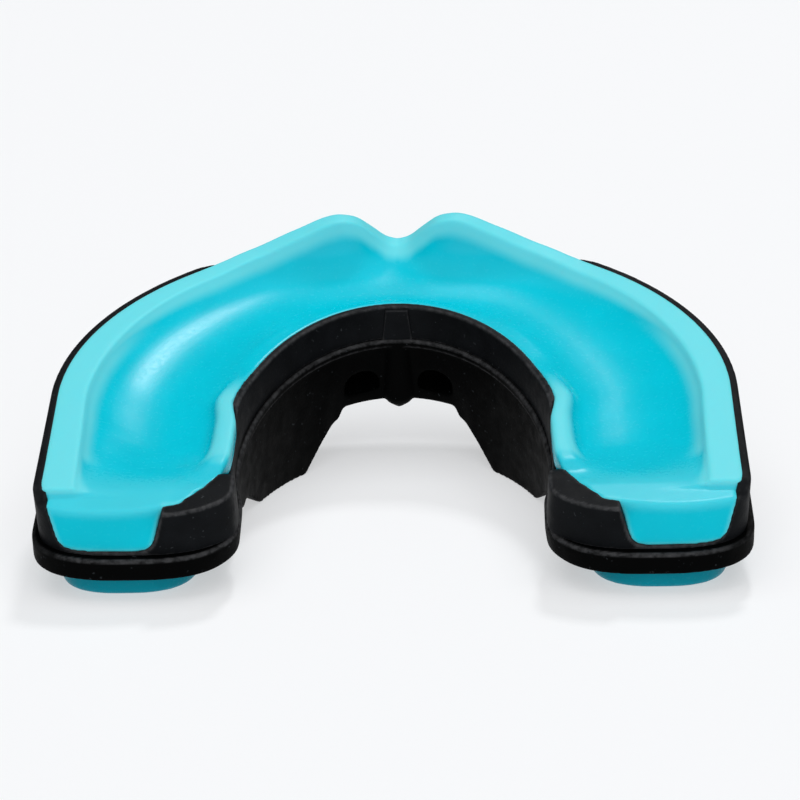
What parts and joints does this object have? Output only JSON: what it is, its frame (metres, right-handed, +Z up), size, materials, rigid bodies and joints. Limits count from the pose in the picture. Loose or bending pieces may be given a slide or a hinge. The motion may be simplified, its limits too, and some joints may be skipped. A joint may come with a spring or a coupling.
{
  "type": "sports mouthguard",
  "caption": "Horseshoe boil-and-bite mouthguard: soft gel liner in a rubber tray on a rubber bite frame with gel bite pads.",
  "frame": {"origin": "centre of the footprint at table level, standing on the bite pads and the front bite block", "axes": "+X to the right seen from the open rear end, +Y to the front teeth, +Z up"},
  "size_m": [0.0666, 0.0526, 0.0238],
  "materials": {
    "liner_gel": "satin translucent turquoise gel",
    "pad_gel": "satin turquoise gel",
    "tray_rubber": "satin black moulded rubber",
    "frame_rubber": "matt black moulded rubber"
  },
  "bodies": {
    "root": {"gel_liner": "liner_gel", "upper_shell": "tray_rubber", "lower_frame": "frame_rubber", "centre_key": "tray_rubber", "bite_pad_left": "pad_gel", "bite_pad_right": "pad_gel"}
  },
  "joints": []
}
